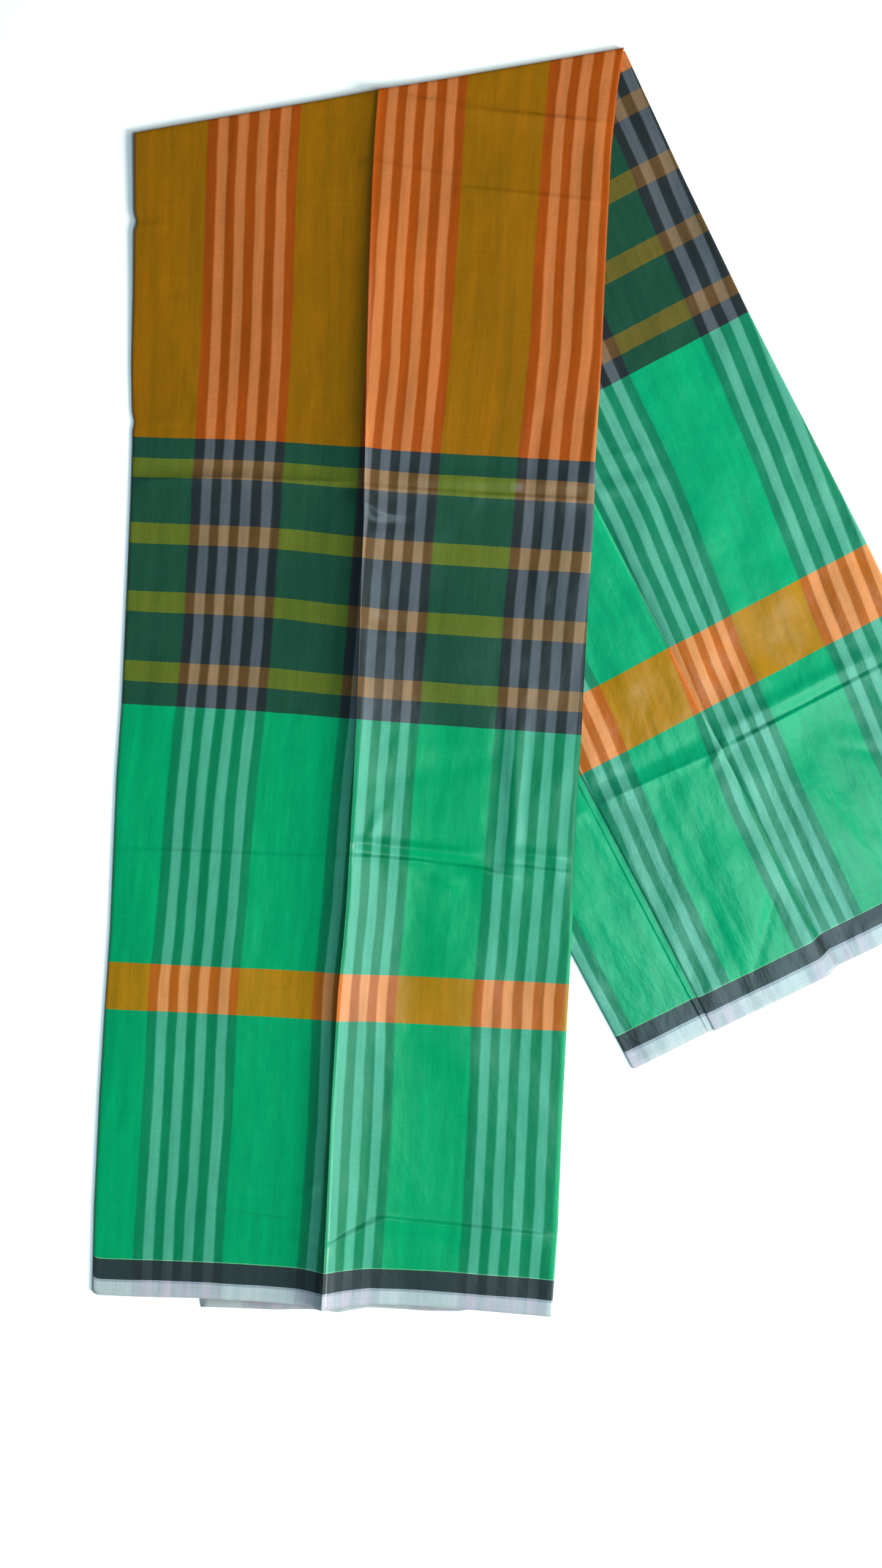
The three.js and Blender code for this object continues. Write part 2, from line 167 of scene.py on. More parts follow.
# The long crease of the near length stands up as a crest, by share of the length from the hem.
nearRidgeHeight = [
    {"at": 0, "height": 13.0}, {"at": 0.3, "height": 12.0}, {"at": 0.45, "height": 12.5},
    {"at": 0.68, "height": 9.0}, {"at": 0.85, "height": 9.5}, {"at": 1, "height": 4.0},
]

# Where the stripes lie across each length, in pattern steps, by share of the length from the hem.
# The mark is a stripe edge in the right part, and toMark is its distance from the crest or the right edge.
nearMark = 395
farMark = 810
nearStripes = [
    {"at": 0.0, "left": -63, "creaseLeft": 318, "creaseRight": 315, "toMark": 68, "right": 698},
    {"at": 0.15, "left": -69, "creaseLeft": 309, "creaseRight": 317, "toMark": 75, "right": 696},
    {"at": 0.26, "left": -69, "creaseLeft": 314, "creaseRight": 313, "toMark": 70, "right": 696},
    {"at": 0.41, "left": -81, "creaseLeft": 309, "creaseRight": 313, "toMark": 73, "right": 685},
    {"at": 0.55, "left": -94, "creaseLeft": 294, "creaseRight": 306, "toMark": 82, "right": 678},
    {"at": 0.68, "left": -98, "creaseLeft": 282, "creaseRight": 294, "toMark": 95, "right": 667},
    {"at": 0.78, "left": -110, "creaseLeft": 272, "creaseRight": 281, "toMark": 111, "right": 655},
    {"at": 0.93, "left": -115, "creaseLeft": 273, "creaseRight": 272, "toMark": 122, "right": 651},
    {"at": 1.0, "left": -116, "creaseLeft": 270, "creaseRight": 270, "toMark": 122, "right": 651},
]
# The weft bows a little: steps added to the pattern at the left edge, a quarter across and the right edge.
nearWeft = [
    {"at": 540, "left": 0, "quarter": 0, "right": 0}, {"at": 955, "left": 0, "quarter": -3, "right": 15},
    {"at": 1110, "left": -7, "quarter": -10, "right": 11},
    {"at": 1260, "left": -6, "quarter": -10, "right": 8},
    {"at": 1391, "left": -2, "quarter": -6, "right": 4}, {"at": 1500, "left": 0, "quarter": 0, "right": 0},
]
weftBend = {"quarter": 0.28, "fade": 0.3}
farBow = {"most": 22, "over": 450, "pivot": 0.6}
farStripes = [
    {"at": 0.0, "flapEdge": 1141, "creaseLeft": 913, "creaseRight": 896, "toMark": 273, "right": 527},
    {"at": 0.19, "flapEdge": 1155, "creaseLeft": 921, "creaseRight": 917, "toMark": 267, "right": 543},
    {"at": 0.334, "flapEdge": 1172, "creaseLeft": 950, "creaseRight": 936, "toMark": 256, "right": 560},
    {"at": 0.5, "flapEdge": 1180, "creaseLeft": 960, "creaseRight": 953, "toMark": 226, "right": 585},
    {"at": 0.62, "flapEdge": 1180, "creaseLeft": 955, "creaseRight": 955, "toMark": 219, "right": 604},
    {"at": 0.81, "flapEdge": 1180, "creaseLeft": 955, "creaseRight": 955, "toMark": 205, "right": 617},
    {"at": 1.0, "flapEdge": 1180, "creaseLeft": 955, "creaseRight": 955, "toMark": 200, "right": 620},
]

# Small creases: a line, its height and width, and its kind. A line has a sharp ridge or
# trough, a soft one is rounded, and a lap steps up on the right of its line and sinks back slowly.
nearCreases = [
    {"start": (-412, 190), "end": (-300, 193), "rise": 2.4, "width": 4.0, "kind": "line"},
    {"start": (-310, 192), "end": (-192, 187), "rise": 2.0, "width": 3.5, "kind": "line"},
    {"start": (-405, 204), "end": (-200, 200), "rise": -0.9, "width": 7, "kind": "soft"},
    {"start": (-188, 186), "end": (-60, 178), "rise": 1.3, "width": 1.8, "kind": "lap"},
    {"start": (-75, 179), "end": (34, 173), "rise": 2.0, "width": 2.0, "kind": "lap"},
    {"start": (-150, 192), "end": (30, 186), "rise": 1.5, "width": 8, "kind": "soft"},
    {"start": (-432, -154), "end": (-206, -163), "rise": 1.0, "width": 1.8, "kind": "lap"},
    {"start": (-203, -160), "end": (-130, -166), "rise": 2.2, "width": 2.2, "kind": "lap"},
    {"start": (-145, -165), "end": (-72, -174), "rise": 1.8, "width": 2.0, "kind": "lap"},
    {"start": (-195, -150), "end": (-84, -162), "rise": 2.2, "width": 5, "kind": "soft"},
    {"start": (-84, -172), "end": (-48, -180), "rise": 2.6, "width": 2.0, "kind": "lap"},
    {"start": (-50, -170), "end": (16, -178), "rise": 1.9, "width": 2.0, "kind": "lap"},
    {"start": (-40, -160), "end": (14, -167), "rise": 1.9, "width": 5, "kind": "soft"},
    {"start": (-182, -148), "end": (-166, -118), "rise": 1.8, "width": 4, "kind": "soft"},
    {"start": (-120, -184), "end": (-96, -190), "rise": 1.0, "width": 6, "kind": "soft"},
    {"start": (-56, -30), "end": (-62, -176), "rise": -2.0, "width": 7, "kind": "soft"},
    {"start": (-42, -40), "end": (-48, -176), "rise": 1.6, "width": 7, "kind": "soft"},
    {"start": (-20, 250), "end": (-36, 176), "rise": -1.6, "width": 6, "kind": "soft"},
    {"start": (-190, 174), "end": (-160, 154), "rise": 1.7, "width": 6, "kind": "soft"},
    {"start": (-186, 152), "end": (-140, 148), "rise": -1.6, "width": 4, "kind": "soft"},
    {"start": (-178, 60), "end": (-150, 52), "rise": -1.0, "width": 4, "kind": "soft"},
    {"start": (-28, 120), "end": (-18, 80), "rise": 1.0, "width": 5, "kind": "soft"},
    {"start": (-150, -52), "end": (-30, -60), "rise": 0.5, "width": 2.0, "kind": "lap"},
    {"start": (-180, 30), "end": (-30, 26), "rise": 0.35, "width": 2.0, "kind": "lap"},
    {"start": (-170, -90), "end": (-60, -70), "rise": -0.9, "width": 10, "kind": "soft"},
    {"start": (-330, -494), "end": (-232, -507), "rise": 1.2, "width": 1.8, "kind": "lap"},
    {"start": (-326, -476), "end": (-296, -480), "rise": 0.7, "width": 3.0, "kind": "line"},
    {"start": (-250, -520), "end": (-222, -529), "rise": 1.6, "width": 3.5, "kind": "line"},
    {"start": (-244, -480), "end": (-226, -472), "rise": 1.4, "width": 4, "kind": "soft"},
    {"start": (-218, -524), "end": (-168, -502), "rise": 2.1, "width": 2.0, "kind": "lap"},
    {"start": (-172, -502), "end": (-6, -519), "rise": 1.8, "width": 2.0, "kind": "lap"},
    {"start": (-160, -511), "end": (-8, -528), "rise": 0.7, "width": 7, "kind": "soft"},
    {"start": (-178, 559), "end": (-80, 541), "rise": 1.4, "width": 1.8, "kind": "lap"},
    {"start": (-84, 541), "end": (50, 527), "rise": 1.8, "width": 1.8, "kind": "lap"},
    {"start": (-170, 549), "end": (44, 518), "rise": 0.6, "width": 9, "kind": "soft"},
    {"start": (-178, 490), "end": (-96, 477), "rise": 1.2, "width": 1.8, "kind": "lap"},
    {"start": (-90, 467), "end": (40, 454), "rise": 1.4, "width": 1.8, "kind": "lap"},
    {"start": (-60, 420), "end": (34, 404), "rise": 0.7, "width": 7, "kind": "soft"},
    {"start": (-402, 248), "end": (-335, 243), "rise": 0.9, "width": 3.0, "kind": "line"},
    {"start": (-352, 292), "end": (-338, 252), "rise": 1.0, "width": 4, "kind": "soft"},
    {"start": (-404, 434), "end": (-372, 428), "rise": 0.8, "width": 4, "kind": "soft"},
    {"start": (-130, 60), "end": (-60, 30), "rise": 0.9, "width": 22, "kind": "soft"},
    {"start": (-330, -90), "end": (-300, -330), "rise": 0.9, "width": 26, "kind": "soft"},
    {"start": (-96, -240), "end": (-80, -430), "rise": 1.3, "width": 26, "kind": "soft"},
    {"start": (-390, -200), "end": (-400, -470), "rise": 0.9, "width": 22, "kind": "soft"},
    {"start": (-150, -330), "end": (-40, -370), "rise": 0.9, "width": 18, "kind": "soft"},
]
farCreases = [
    {"start": (6, -130), "end": (60, -103), "rise": 1.9, "width": 8, "kind": "line"},
    {"start": (50, -108), "end": (148, -64), "rise": 1.7, "width": 6, "kind": "line"},
    {"start": (4, -112), "end": (140, -50), "rise": -0.7, "width": 8, "kind": "soft"},
    {"start": (152, -60), "end": (215, -28), "rise": 1.5, "width": 1.8, "kind": "lap"},
    {"start": (195, -38), "end": (306, 20), "rise": 1.9, "width": 2.4, "kind": "lap"},
    {"start": (150, -47), "end": (300, 30), "rise": 1.7, "width": 8, "kind": "soft"},
    {"start": (140, -78), "end": (156, -54), "rise": 1.6, "width": 5, "kind": "soft"},
    {"start": (30, 215), "end": (82, 224), "rise": 1.0, "width": 1.8, "kind": "lap"},
    {"start": (24, 190), "end": (90, 205), "rise": -0.8, "width": 3, "kind": "line"},
    {"start": (20, 178), "end": (96, 194), "rise": 0.8, "width": 7, "kind": "soft"},
    {"start": (98, -104), "end": (178, -276), "rise": 0.9, "width": 2.2, "kind": "line"},
    {"start": (60, 60), "end": (98, -40), "rise": 0.8, "width": 3, "kind": "line"},
    {"start": (202, -190), "end": (183, -268), "rise": -1.3, "width": 4, "kind": "soft"},
    {"start": (274, -102), "end": (302, -160), "rise": 0.8, "width": 2.5, "kind": "line"},
    {"start": (262, -60), "end": (300, -66), "rise": -0.8, "width": 4, "kind": "soft"},
    {"start": (190, 120), "end": (270, -20), "rise": 1.0, "width": 18, "kind": "soft"},
    {"start": (60, -190), "end": (110, -300), "rise": 1.2, "width": 14, "kind": "soft"},
    {"start": (30, -150), "end": (70, -160), "rise": 1.1, "width": 12, "kind": "soft"},
    {"start": (120, -130), "end": (150, -250), "rise": -0.8, "width": 14, "kind": "soft"},
    {"start": (236, -90), "end": (282, -150), "rise": 1.1, "width": 14, "kind": "soft"},
    {"start": (78, 120), "end": (204, -300), "rise": 2.0, "width": 30, "kind": "soft"},
]
creaseHeight = 1.35
creaseShape = {"lapReach": 60, "widths": 5, "endFade": 0.3, "end": 0.02, "lapRound": 8, "lapFade": 10}
# Small nicks in the left edge of the near length.
nearNotches = [{"y": 434, "in": 2.4}, {"y": 246, "in": 1.8}]

# The near crest: a soft ridge that falls away on both sides, a narrow lip, and a groove beside it low down.
nearCrest = {
    "slackLeft": 20, "slackRight": 38, "ends": 75,
    "lipAtHem": 2.4, "lipAtFold": 1.4, "lipLeft": 1.9, "lipRight": 3.6,
    "groove": 0.9, "grooveAt": 3.4, "grooveWide": 1.3, "grooveUpTo": 0.6, "grooveFade": 0.1,
}
# The far crease: a groove, steeper on its left, between a bank beside it and one further left.
farCrest = {
    "groove": 2.4, "grooveLeft": 3.5, "grooveRight": 7,
    "bank": 1.2, "bankAt": 2, "bankWide": 17, "leftBank": 0.8, "leftBankAt": -50, "leftBankWide": 22,
}
# The near length climbs onto the far one over this distance, which widens towards the fold.
climb = {"atHem": 90, "atFold": 140, "from": 0.3, "over": 0.5, "inner": 0.4}
drapeWaves = {"broadX": 110, "broadY": 150, "broadRise": 0.7, "fineX": 42, "fineY": 58}
# Creases press down freely at first, and then only as far as the layers below give way.
give = {"free": 0.6, "last": 0.5}


def crossLine(length, share):
    stations = length["stations"]
    runs = [0]
    for a, b in zip(stations, stations[1:]):
        runs.append(runs[-1] + (math.dist(a["left"], b["left"]) + math.dist(a["right"], b["right"])) / 2)
    wanted = share * runs[-1]
    k = 1
    while k < len(runs) - 1 and runs[k] < wanted:
        k += 1
    part = (wanted - runs[k - 1]) / (runs[k] - runs[k - 1])
    a = stations[k - 1]
    b = stations[k]
    leftRun = sum(math.dist(p["left"], q["left"]) for p, q in zip(stations[:k - 1], stations[1:k]))
    rightRun = sum(math.dist(p["right"], q["right"]) for p, q in zip(stations[:k - 1], stations[1:k]))
    return {
        "left": Vector((mix(a["left"][0], b["left"][0], part), mix(a["left"][1], b["left"][1], part))),
        "right": Vector((mix(a["right"][0], b["right"][0], part), mix(a["right"][1], b["right"][1], part))),
        "fromHemLeft": leftRun + part * math.dist(a["left"], b["left"]),
        "fromHemRight": rightRun + part * math.dist(a["right"], b["right"]),
    }


def creaseAt(length, share):
    return lookUp(length["crease"], share, "share")


def insideFar(x, y):
    hem = far["stations"][0]["left"]
    fold = far["stations"][-1]["left"]
    run = math.dist(hem, fold)
    return ((x - hem[0]) * (fold[1] - hem[1]) - (y - hem[1]) * (fold[0] - hem[0])) / run


def nearBase(x, y, share):
    outer = mix(climb["atHem"], climb["atFold"], smooth((share - climb["from"]) / climb["over"]))
    inner = outer * climb["inner"]
    return levels["nearOnFar"] * smooth((insideFar(x, y) + outer) / (outer + inner))


def nearRidge(fromCrest, share):
    slack = nearCrest["slackLeft"] if fromCrest < 0 else nearCrest["slackRight"]
    tail = math.exp(-nearCrest["ends"] / slack)
    rise = (math.exp(-abs(fromCrest) / slack) - tail) / (1 - tail)
    return lookUp(nearRidgeHeight, share, "height") * max(rise, 0)


def crestLip(fromCrest, share):
    reach = nearCrest["lipLeft"] if fromCrest < 0 else nearCrest["lipRight"]
    high = mix(nearCrest["lipAtHem"], nearCrest["lipAtFold"], smooth(share))
    return high * math.exp(-abs(fromCrest) / reach)


# The groove makes a double line of the crest over its lower half.
def crestGroove(fromCrest, share):
    lower = smooth((nearCrest["grooveUpTo"] - share) / nearCrest["grooveFade"])
    return nearCrest["groove"] * bell(fromCrest - nearCrest["grooveAt"], nearCrest["grooveWide"]) * lower


# How far the far length sinks beside its crease. The banks count as less than nothing.
def farValley(fromCrest):
    reach = farCrest["grooveLeft"] if fromCrest < 0 else farCrest["grooveRight"]
    groove = farCrest["groove"] * math.exp(-abs(fromCrest) / reach)
    bank = farCrest["bank"] * bell(fromCrest - farCrest["bankAt"], farCrest["bankWide"])
    leftBank = farCrest["leftBank"] * bell(fromCrest - farCrest["leftBankAt"], farCrest["leftBankWide"])
    return groove - bank - leftBank


def smallCreases(table, x, y):
    total = 0
    for crease in table:
        startX, startY = crease["start"]
        runX = crease["end"][0] - startX
        runY = crease["end"][1] - startY
        long = math.hypot(runX, runY)
        isLap = crease["kind"] == "lap"
        reach = creaseShape["lapReach"] if isLap else crease["width"] * creaseShape["widths"]
        side = ((x - startX) * runY - (y - startY) * runX) / long
        if abs(side) > reach:
            continue
        along = clamp(((x - startX) * runX + (y - startY) * runY) / long ** 2, 0, 1)
        away = math.hypot(x - startX - runX * along, y - startY - runY * along)
        inside = clamp(along, creaseShape["end"], 1 - creaseShape["end"])
        fade = math.sin(math.pi * inside) ** creaseShape["endFade"]
        if crease["kind"] == "line":
            shape = math.exp(-away / crease["width"])
        elif crease["kind"] == "soft":
            shape = bell(away, crease["width"])
        else:
            past = 1 - smooth((away - abs(side)) / creaseShape["lapRound"])
            shape = smooth(side / crease["width"]) * math.exp(-max(side, 0) / creaseShape["lapFade"]) * past
        total += crease["rise"] * creaseHeight * fade * shape
    return total


# Soft waves of the whole cloth, broad ones and finer ones.
def drape(x, y, seed, finer):
    broad = drapeWaves["broadRise"] * wave(x / drapeWaves["broadX"], y / drapeWaves["broadY"], seed)
    return broad + finer * wave(x / drapeWaves["fineX"], y / drapeWaves["fineY"], seed + 3)


# Distances that start fine and grow until they are evenly spaced.
def steps(first, growth, widest, reach):
    found = [0]
    step = first
    while found[-1] + step < reach:
        found.append(found[-1] + step)
        step = min(step * growth, widest)
    return found


# A cloth sheet: one vertex for each column and row, placed by its own function.
def gridPiece(name, columns, rows, place):
    bm = bmesh.new()
    bmesh.ops.create_grid(bm, x_segments=len(columns) - 1, y_segments=len(rows) - 1, size=1)
    uvLayer = bm.loops.layers.uv.new("pattern")
    spots = {}
    for v in bm.verts:
        i = round((v.co.x + 1) / 2 * (len(columns) - 1))
        j = round((v.co.y + 1) / 2 * (len(rows) - 1))
        spot = place(columns[i], rows[j])
        v.co = Vector(((spot["x"] - middle[0]) * mm, (spot["y"] - middle[1]) * mm, spot["z"] * mm))
        spots[v] = (spot["u"] / 1000, spot["v"] / 1000)
    for face in bm.faces:
        face.smooth = True
        for loop in face.loops:
            loop[uvLayer].uv = spots[loop.vert]
    mesh = bpy.data.meshes.new(name)
    bm.to_mesh(mesh)
    bm.free()
    obj = bpy.data.objects.new(name, mesh)
    bpy.context.scene.collection.objects.link(obj)
    return obj


def thicken(obj, thickness):
    solid = obj.modifiers.new("cloth", "SOLIDIFY")
    solid.thickness = thickness * mm
    solid.offset = -1


# Colours of the bands: the ground, the gaps inside a stripe group, and the light stripes.
palette = {
    "white": {"ground": (168, 180, 188), "gap": (158, 166, 178), "stripe": (170, 168, 184)},
    "line": {"ground": (138, 150, 162), "gap": (132, 142, 158), "stripe": (148, 150, 166)},
    "black": {"ground": (42, 55, 58), "gap": (38, 47, 51), "stripe": (50, 60, 65)},
    "thinGreen": {"ground": (86, 165, 118), "gap": (80, 148, 116), "stripe": (116, 176, 148)},
    "green": {"ground": (0, 144, 95), "gap": (8, 113, 78), "stripe": (66, 151, 127)},
    # The far length's green: the near green made bluer and paler over the whole far length, a painted cool
    # satin sheen.
    "farGreenPaintedSheen": {"ground": (4, 147, 103), "gap": (18, 112, 84), "stripe": (76, 151, 132)},
    "dark": {"ground": (27, 68, 54), "gap": (34, 40, 44), "stripe": (77, 83, 93)},
    "olive": {"ground": (86, 98, 34), "gap": (88, 63, 36), "stripe": (132, 106, 82)},
    "farOlive": {"ground": (92, 84, 36), "gap": (84, 62, 40), "stripe": (118, 96, 76)},
    "orange": {"ground": (157, 111, 16), "gap": (162, 85, 24), "stripe": (200, 130, 80)},
    "mustard": {"ground": (134, 88, 7), "gap": (144, 64, 12), "stripe": (178, 104, 58)},
}
nearBands = [
    {"from": 0, "name": "white"}, {"from": 22.5, "name": "line"}, {"from": 26.5, "name": "black"},
    {"from": 59, "name": "thinGreen"}, {"from": 60.5, "name": "green"}, {"from": 464, "name": "orange"},
    {"from": 541, "name": "green"}, {"from": 962, "name": "dark"}, {"from": 998, "name": "olive"},
    {"from": 1030, "name": "dark"}, {"from": 1107, "name": "olive"}, {"from": 1141, "name": "dark"},
    {"from": 1219, "name": "olive"}, {"from": 1253, "name": "dark"}, {"from": 1329, "name": "olive"},
    {"from": 1362, "name": "dark"}, {"from": 1396, "name": "mustard"},
]
# The far length's green bands take the far green, with its painted sheen.
farBands = [
    {"from": 0, "name": "white"}, {"from": 26, "name": "line"}, {"from": 31, "name": "black"},
    {"from": 60.5, "name": "thinGreen"}, {"from": 62, "name": "farGreenPaintedSheen"}, {"from": 478, "name": "orange"},
    {"from": 594, "name": "farGreenPaintedSheen"}, {"from": 1018, "name": "dark"}, {"from": 1053, "name": "farOlive"},
    {"from": 1086, "name": "dark"}, {"from": 1166, "name": "farOlive"}, {"from": 1199, "name": "dark"},
    {"from": 1279, "name": "farOlive"}, {"from": 1313, "name": "dark"}, {"from": 1391, "name": "farOlive"},
    {"from": 1424, "name": "dark"}, {"from": 1460, "name": "mustard"},
]
# A group of four light stripes in each repeat of the warp, in pattern steps. The offset keeps the
# count above zero. A noise is its scale across and along, its detail and its seed.
repeat = 270
repeatOffset = 4
groupWidth = 150
stripeCentres = [26, 58, 91, 125]
stripeWidth = 16.5
stripeEdge = 1.4
clothFinish = {
    "thread": 0.0011, "weave": 0.025, "bump": 0.6, "bumpHeight": 0.0012,
    "crumple": (36, 17, 4, 4), "swell": (10, 6, 2, 12), "swellTimes": 3.2,
    "warpWaver": (30, 9, 2, 5), "warpWaverMost": 0.004, "weftWaver": (9, 30, 2, 8), "weftWaverMost": 0.003,
    "grainFrom": 0.28, "grainTo": 0.72, "roughness": 0.28, "specular": 0.17,
}


def clothMaterial(name, bands, crumpled):
    material = bpy.data.materials.new(name)
    material.use_nodes = True
    nodes = material.node_tree.nodes
    links = material.node_tree.links
    principled = nodes["Principled BSDF"]

    def combine(operation, a, b=None):
        node = nodes.new("ShaderNodeMath")
        node.operation = operation
        for socket, value in zip(node.inputs, (a, b)):
            if isinstance(value, bpy.types.NodeSocket):
                links.new(value, socket)
            elif value is not None:
                socket.default_value = value
        return node.outputs[0]

    def ramp(fac, stops, interpolation="CONSTANT"):
        node = nodes.new("ShaderNodeValToRGB")
        node.color_ramp.interpolation = interpolation
        elements = node.color_ramp.elements
        elements[0].position, elements[0].color = stops[0]
        elements[1].position, elements[1].color = stops[-1]
        for position, value in stops[1:-1]:
            elements.new(position).color = value
        links.new(fac, node.inputs[0])
        return node.outputs[0]

    def blend(fac, a, b, kind="MIX"):
        node = nodes.new("ShaderNodeMix")
        node.data_type = "RGBA"
        node.blend_type = kind
        for socket, value in ((node.inputs[0], fac), (node.inputs[6], a), (node.inputs[7], b)):
            if isinstance(value, bpy.types.NodeSocket):
                links.new(value, socket)
            else:
                socket.default_value = value
        return node.outputs[2]

    uv = nodes.new("ShaderNodeUVMap")
    uv.uv_map = "pattern"
    split = nodes.new("ShaderNodeSeparateXYZ")
    links.new(uv.outputs[0], split.inputs[0])

    def clothNoise(scaleU, scaleV, detail, seed):
        place = nodes.new("ShaderNodeMapping")
        place.inputs["Scale"].default_value = (scaleU, scaleV, 1)
        place.inputs["Location"].default_value = (seed, seed * 2, 0)
        links.new(uv.outputs[0], place.inputs[0])
        node = nodes.new("ShaderNodeTexNoise")
        node.inputs["Scale"].default_value = 1
        node.inputs["Detail"].default_value = detail
        links.new(place.outputs[0], node.inputs["Vector"])
        return node.outputs[0]

    def waver(grain, most):
        return combine("MULTIPLY", combine("SUBTRACT", grain, 0.5), most)

    # stripe and band edges waver a little, as threads do
    warpWaver = waver(clothNoise(*clothFinish["warpWaver"]), clothFinish["warpWaverMost"])
    weftWaver = waver(clothNoise(*clothFinish["weftWaver"]), clothFinish["weftWaverMost"])
    across = combine("ADD", split.outputs[0], warpWaver)
    along = combine("ADD", split.outputs[1], weftWaver)
    counted = combine("ADD", across, repeat * repeatOffset / 1000)
    inRepeat = combine("FRACT", combine("DIVIDE", counted, repeat / 1000))
    dark = (0, 0, 0, 1)
    light = (1, 1, 1, 1)
    stops = [(0, dark)]
    for centre in stripeCentres:
        for side, outside, inside in ((-0.5, dark, light), (0.5, light, dark)):
            edge = centre + side * stripeWidth
            stops.append(((edge - stripeEdge) / repeat, outside))
            stops.append(((edge + stripeEdge) / repeat, inside))
    stripeMask = ramp(inRepeat, stops, "LINEAR")
    stops = [(0, dark), (2 * stripeEdge / repeat, light), ((groupWidth - 2 * stripeEdge) / repeat, light)]
    groupMask = ramp(inRepeat, stops + [(groupWidth / repeat, dark)], "LINEAR")

    # the band a point lies in: each band edge that it has passed adds one
    passed = 0.5
    for band in bands[1:]:
        passed = combine("ADD", combine("GREATER_THAN", along, band["from"] / 1000), passed)
    inBand = combine("DIVIDE", passed, len(bands))
    tones = {}
    for tone in ("ground", "gap", "stripe"):
        stops = [(k / len(bands), colour(*palette[band["name"]][tone])) for k, band in enumerate(bands)]
        tones[tone] = ramp(inBand, stops)
    cloth = blend(groupMask, tones["ground"], tones["gap"])
    cloth = blend(stripeMask, cloth, tones["stripe"])

    # uneven yarns, faint along both directions, and slow shifts of tone
    unevenness = [
        {"noise": (700, 14, 2, 1), "low": (0.91, 0.91, 0.91), "high": (1.07, 1.07, 1.07)},
        {"noise": (12, 620, 2, 2), "low": (0.94, 0.94, 0.94), "high": (1.05, 1.05, 1.05)},
        {"noise": (60, 2.5, 3, 6), "low": (0.84, 0.90, 0.86), "high": (1.15, 1.08, 1.04)},
        {"noise": (7, 5, 3, 3), "low": (0.90, 0.94, 0.92), "high": (1.09, 1.05, 1.0)},
    ]
    for yarn in unevenness:
        grain = clothNoise(*yarn["noise"])
        stops = [(clothFinish["grainFrom"], (*yarn["low"], 1)), (clothFinish["grainTo"], (*yarn["high"], 1))]
        shade = ramp(grain, stops, "LINEAR")
        cloth = blend(1, cloth, shade, "MULTIPLY")
    links.new(cloth, principled.inputs["Base Color"])

    # plain weave, one thread over and one under, on small crumples and broader swells
    threads = 1.0 / clothFinish["thread"]
    warpThread = combine("SINE", combine("MULTIPLY", split.outputs[0], math.pi * threads))
    weftThread = combine("SINE", combine("MULTIPLY", split.outputs[1], math.pi * threads))
    weave = combine("MULTIPLY", warpThread, weftThread)
    crumple = clothNoise(*clothFinish["crumple"])
    swell = combine("MULTIPLY", clothNoise(*clothFinish["swell"]), clothFinish["swellTimes"])
    waves = combine("MULTIPLY", combine("ADD", crumple, swell), crumpled)
    height = combine("ADD", combine("MULTIPLY", weave, clothFinish["weave"]), waves)
    bump = nodes.new("ShaderNodeBump")
    bump.inputs["Strength"].default_value = clothFinish["bump"]
    bump.inputs["Distance"].default_value = clothFinish["bumpHeight"]
    links.new(height, bump.inputs["Height"])
    links.new(bump.outputs[0], principled.inputs["Normal"])

    principled.inputs["Roughness"].default_value = clothFinish["roughness"]
    principled.inputs["Specular IOR Level"].default_value = clothFinish["specular"]
    return material


nearMaterial = clothMaterial("nearCloth", nearBands, 1.0)
farMaterial = clothMaterial("farCloth", farBands, 1.8)


# Columns run across a length and rows along it.
halfWidth = 213
edgeInset = 4.0
columnGrowth = 1.28
hemEnd = 5.0  # a row this far from the fold is the last one of the far length


def edgeColumns(side):
    return [{"side": side, "share": 0, **edge} for edge in foldProfile]


# Columns between the crest (share 0) and the folded edge (share 1), finest beside the crest.
def partColumns(side, finest, widest):
    found = steps(finest, columnGrowth, widest, halfWidth)[1:]
    return [{"side": side, "share": d / halfWidth, "inset": edgeInset, "drop": 0} for d in found]


crestColumn = {"side": "crest", "share": 0, "inset": 0, "drop": 0}


def fromLeftOf(column, width, crease):
    crest = width * crease
    if column["side"] == "left":
        return column["inset"]
    if column["side"] == "right":
        return width - column["inset"]
    if column["side"] == "leftPart":
        return mix(crest, column["inset"], column["share"])
    if column["side"] == "rightPart":
        return mix(crest, width - column["inset"], column["share"])
    return crest


# Rows from the hem to the top fold, set closer inside the creased zones.
def hemRows(length, zones, fine, coarse, foldEdge):
    last = edgeInset if foldEdge else hemEnd
    fromHem = 0
    rows = []
    while fromHem < length - last - 1:
        rows.append({"inset": length - fromHem, "drop": 0})
        creased = any(zone["from"] - coarse < fromHem < zone["to"] for zone in zones)
        fromHem += fine if creased else coarse
    rows.append({"inset": last, "drop": 0})
    if foldEdge:
        rows += [{"inset": edge["inset"], "drop": edge["drop"]} for edge in reversed(foldProfile[:-1])]
    return rows


def settle(relief):
    if relief > -give["free"]:
        return relief
    return give["last"] * math.exp((relief + give["free"]) / give["last"]) - give["free"] - give["last"]


def nearStripeAt(fromLeft, width, share):
    crest = width * creaseAt(near, share)
    left = lookUp(nearStripes, share, "left")
    if fromLeft <= crest:
        return mix(left, lookUp(nearStripes, share, "creaseLeft"), fromLeft / crest)
    bend = lookUp(nearStripes, share, "toMark") * patternStep
    past = fromLeft - crest
    if past < bend:
        return mix(lookUp(nearStripes, share, "creaseRight"), nearMark, past / bend)
    return mix(nearMark, lookUp(nearStripes, share, "right"), (past - bend) / (width - crest - bend))


def weftBow(along, across):
    quarter = weftBend["quarter"]
    toQuarter = smooth(across / quarter)
    beyond = smooth((across - quarter) / weftBend["fade"])
    leftPart = lookUp(nearWeft, along, "left") * (1 - toQuarter)
    quarterPart = lookUp(nearWeft, along, "quarter") * toQuarter * (1 - beyond)
    return leftPart + quarterPart + lookUp(nearWeft, along, "right") * across


def hemShift(table, fromLeft, share, length):
    fade = 1 - smooth(share * length / hemReach)
    return -lookUp(table, fromLeft, "down") * fade


